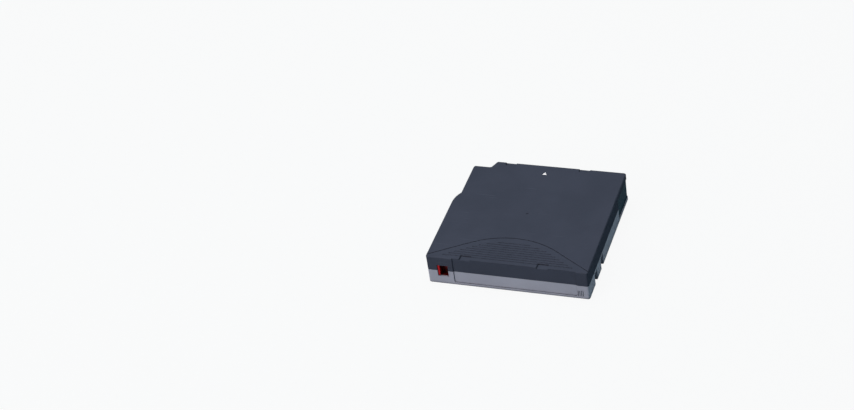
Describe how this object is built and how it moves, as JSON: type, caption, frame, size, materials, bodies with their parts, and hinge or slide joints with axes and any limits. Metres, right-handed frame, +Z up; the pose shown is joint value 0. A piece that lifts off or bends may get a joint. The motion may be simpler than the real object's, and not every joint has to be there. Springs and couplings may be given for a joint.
{
  "type": "data tape cartridge",
  "caption": "Half-inch data tape cartridge: two-part case, sprung door, write protect slider, locked reel with tape and leader pin.",
  "frame": {"origin": "middle of the bottom face, under the axis of the reel", "axes": "+Y towards the end that enters the drive, -Y the label end, +X the side with the door, +Z up through the top face"},
  "size_m": [0.1054, 0.102, 0.0215],
  "materials": {
    "shell_dark": "fine matte texture, dark slate",
    "shell_light": "fine matte texture, light grey with a lavender cast",
    "screw_steel": "zinc plated",
    "door_plastic": "dark navy, smooth",
    "spring_steel": "bright strip",
    "slider_red": "red, half gloss",
    "reel_plastic": "black, smooth",
    "plate_steel": "plain steel",
    "tape": "dark brown tape, satin",
    "pale_plastic": "natural acetal",
    "pin_steel": "polished steel",
    "board": "green circuit board",
    "chip": "black resin"
  },
  "bodies": {
    "case": {"top_shell": "shell_dark", "bottom_shell": "shell_light", "case_screws": "screw_steel", "memory_board": "board", "memory_chip": "chip", "leader_pin": "pin_steel", "pin_clip": "pale_plastic", "pin_spring": "spring_steel", "tape_leader": "tape", "door_spring": "spring_steel", "brake_spring": "spring_steel"},
    "reel": {"reel_hub": "reel_plastic", "upper_flange": "reel_plastic", "reel_plate": "plate_steel", "tape_pack": "tape"},
    "brake": {"brake_button": "pale_plastic"},
    "pad": {"release_pad": "pale_plastic"},
    "door": {"door": "door_plastic"},
    "slider": {"write_protect_slider": "slider_red"}
  },
  "joints": [
    {"name": "reel_spin", "type": "hinge", "parent": "case", "child": "reel", "pos_m": [0, 0, 0.0023], "axis": [0, 0, 1], "continuous": true},
    {"name": "brake_lift", "type": "slide", "parent": "case", "child": "brake", "axis": [0, 0, 1], "range_m": [0, 0.0018], "stiffness_N_per_m": 800, "springref_m": -0.008, "deforming": ["brake_spring"]},
    {"name": "pad_lift", "type": "slide", "parent": "reel", "child": "pad", "axis": [0, 0, 1], "range_m": [0, 0.0018]},
    {"name": "door_slide", "type": "slide", "parent": "case", "child": "door", "axis": [0, -1, 0], "range_m": [0, 0.022], "stiffness_N_per_m": 30, "springref_m": -0.01, "deforming": ["door_spring"]},
    {"name": "write_protect", "type": "slide", "parent": "case", "child": "slider", "axis": [1, 0, 0], "range_m": [0, 0.0055]}
  ],
  "couplings": [
    {"joint": "pad_lift", "follows": "brake_lift", "ratio": 1}
  ]
}
